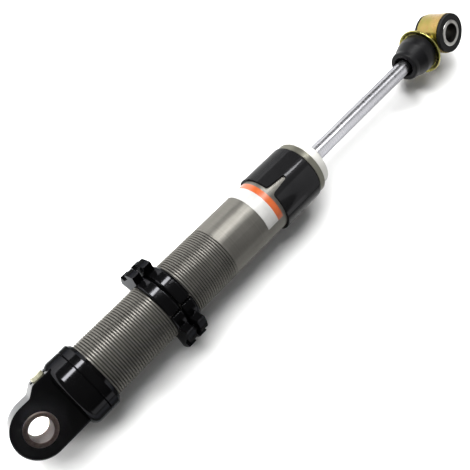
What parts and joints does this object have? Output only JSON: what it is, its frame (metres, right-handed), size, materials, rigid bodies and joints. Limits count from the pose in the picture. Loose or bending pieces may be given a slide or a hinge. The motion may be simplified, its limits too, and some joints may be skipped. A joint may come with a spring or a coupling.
{
  "type": "shock absorber",
  "caption": "Coil-over shock absorber without its spring: threaded body with spring seat rings, chrome rod, bump stop and an eye at each end.",
  "frame": {"origin": "centre of the body eye's bush", "axes": "+X along the shock towards the rod eye, +Z along the body eye's bore, up"},
  "size_m": [0.4928, 0.0684, 0.0544],
  "materials": {
    "anodised_tube": "satin grey anodised",
    "black_anodised": "gloss black anodised",
    "natural_aluminium": "satin machined",
    "black_plastic": "gloss moulded",
    "white_plastic": "matte",
    "bronze": "dull sintered",
    "brass": "bright",
    "hard_chrome": "polished",
    "spring_steel": "ground",
    "plain_steel": "zinc plated",
    "yellow_zinc": "yellow passivated zinc",
    "bump_rubber": "matte",
    "seal_rubber": "matte"
  },
  "bodies": {
    "body": {"body_tube": "anodised_tube", "end_cap": "black_anodised", "cap_seal": "seal_rubber", "eye_bush": "bronze", "fill_screw": "brass", "fill_seal": "seal_rubber", "spring_sleeve": "black_plastic", "seal_head": "natural_aluminium", "rod_bush": "bronze", "rod_seal": "seal_rubber", "rod_wiper": "seal_rubber", "head_seal": "seal_rubber", "head_ring": "spring_steel"},
    "preload_ring": {"preload_ring": "black_anodised"},
    "lock_ring": {"lock_ring": "black_anodised"},
    "piston_band": {"piston_band": "white_plastic"},
    "rod": {"piston_rod": "hard_chrome", "piston": "natural_aluminium", "compression_shims": "spring_steel", "compression_plate": "spring_steel", "rebound_shims": "spring_steel", "rebound_plate": "spring_steel", "piston_nut": "plain_steel", "topout_spacer": "natural_aluminium", "bump_stop": "bump_rubber", "bump_cup": "yellow_zinc", "rod_eye": "yellow_zinc", "eye_rubber": "bump_rubber"},
    "eye_sleeve": {"eye_sleeve": "plain_steel"},
    "floating_piston": {"floating_piston": "natural_aluminium", "floating_seal": "seal_rubber", "floating_band": "white_plastic"}
  },
  "joints": [
    {"name": "preload_travel", "type": "slide", "parent": "body", "child": "preload_ring", "axis": [1, 0, 0], "range_m": [-0.055, 0.041]},
    {"name": "lock_turn", "type": "hinge", "parent": "preload_ring", "child": "lock_ring", "pos_m": [0.1097, 0, 0], "axis": [1, 0, 0], "continuous": true},
    {"name": "rod_slide", "type": "slide", "parent": "body", "child": "piston_band", "axis": [1, 0, 0], "range_m": [-0.124, 0], "stiffness_N_per_m": 120, "springref_m": 0.4},
    {"name": "rod_turn", "type": "hinge", "parent": "piston_band", "child": "rod", "pos_m": [0.228, 0, 0], "axis": [1, 0, 0], "continuous": true},
    {"name": "sleeve_twist", "type": "hinge", "parent": "rod", "child": "eye_sleeve", "pos_m": [0.4572, 0, 0], "axis": [0, -0.3923, 0.9198], "range_deg": [-15, 15], "stiffness_Nm_per_rad": 2},
    {"name": "floating_slide", "type": "slide", "parent": "body", "child": "floating_piston", "axis": [1, 0, 0], "range_m": [-0.014, 0.0001]}
  ],
  "couplings": [
    {"joint": "floating_slide", "follows": "rod_slide", "ratio": 0.11111}
  ]
}
